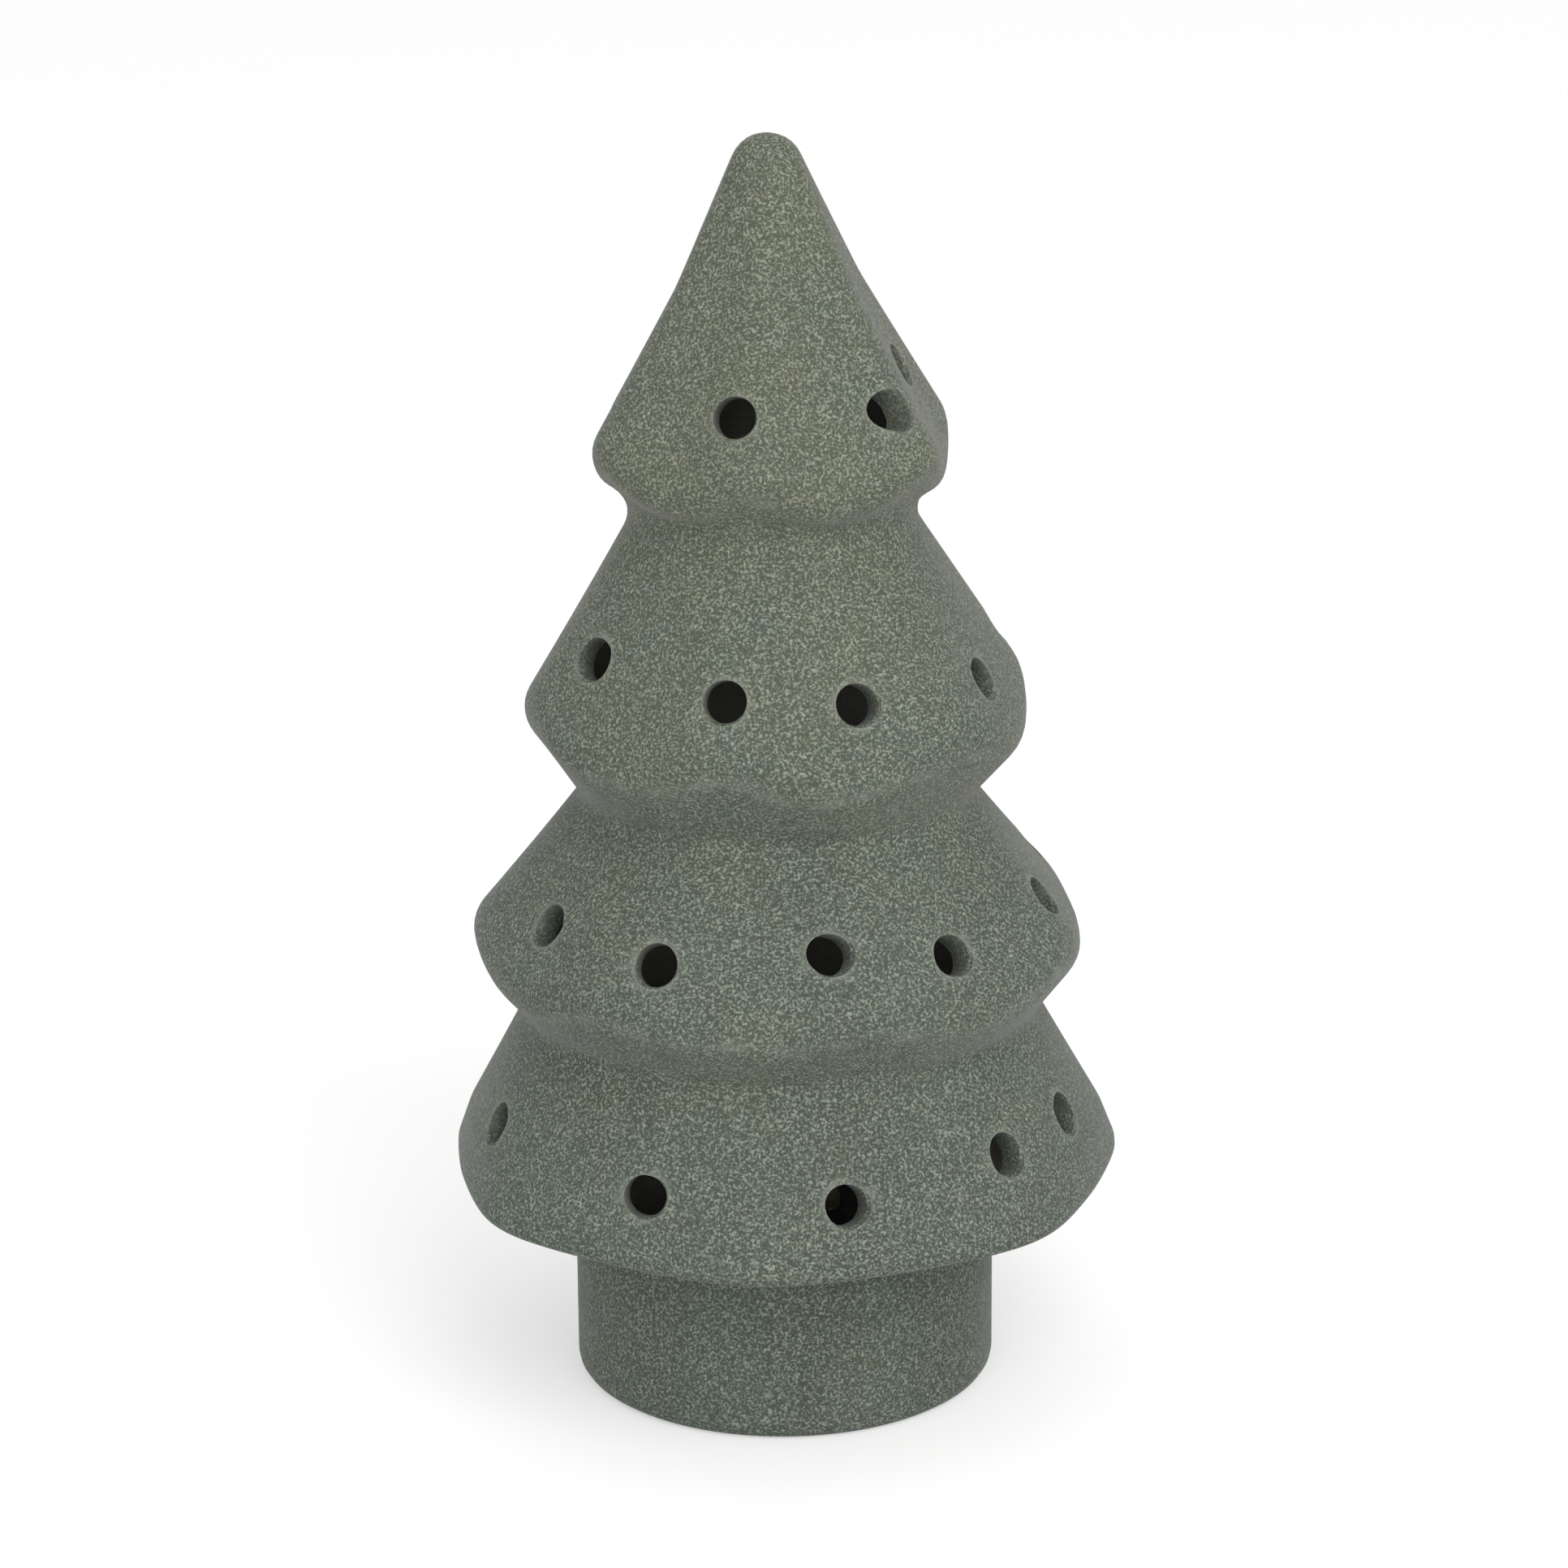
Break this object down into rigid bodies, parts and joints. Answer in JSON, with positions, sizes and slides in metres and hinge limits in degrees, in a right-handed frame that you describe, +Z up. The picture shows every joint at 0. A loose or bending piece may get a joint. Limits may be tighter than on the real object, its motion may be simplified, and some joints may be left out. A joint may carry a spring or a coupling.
{
  "type": "christmas tree figurine",
  "caption": "Pierced ceramic conifer figurine with stepped tiers and a cylindrical foot, hollow inside, lit by a small round battery light that pulls out of the foot.",
  "frame": {"origin": "centre of the foot on the surface that the tree stands on", "axes": "+Z up the trunk to the tip, -Y towards the side that the picture shows, +X to its right"},
  "size_m": [0.0962, 0.096, 0.1824],
  "materials": {
    "matt_glaze": "matt speckled grey-green glaze",
    "black_plastic": "fine spark-eroded matt",
    "silicone": "matt",
    "board": "satin solder mask",
    "contact_steel": "nickel plated",
    "grey_plastic": "satin",
    "red_wire": "satin insulation",
    "black_wire": "satin insulation",
    "screw_steel": "zinc plated",
    "cell_steel": "polished can",
    "warm_lens": "clear warm epoxy"
  },
  "bodies": {
    "tree": {"tree_shell": "matt_glaze"},
    "light_unit": {"light_housing": "black_plastic", "light_cover": "black_plastic", "grip_ring": "silicone", "circuit_board": "board", "contact_plus": "contact_steel", "contact_minus": "contact_steel", "contact_spring": "contact_steel", "switch_body": "grey_plastic", "switch_wire_red": "red_wire", "switch_wire_black": "black_wire", "button_cell_1": "cell_steel", "button_cell_2": "cell_steel", "button_cell_3": "cell_steel", "led_1": "warm_lens", "led_2": "warm_lens", "led_3": "warm_lens", "cover_screw_1": "screw_steel", "cover_screw_2": "screw_steel", "cover_screw_3": "screw_steel"},
    "door": {"battery_door": "black_plastic", "door_screw": "screw_steel"},
    "knob": {"switch_knob": "grey_plastic"}
  },
  "joints": [
    {"name": "light_unit_pull", "type": "slide", "parent": "tree", "child": "light_unit", "axis": [0, 0, -1], "range_m": [0, 0.03]},
    {"name": "battery_door_hinge", "type": "hinge", "parent": "light_unit", "child": "door", "pos_m": [-0.01225, 0.0015, 0.002], "axis": [0, 1, 0], "range_deg": [0, 75]},
    {"name": "switch_knob_slide", "type": "slide", "parent": "light_unit", "child": "knob", "axis": [1, 0, 0], "range_m": [0, 0.003]}
  ]
}
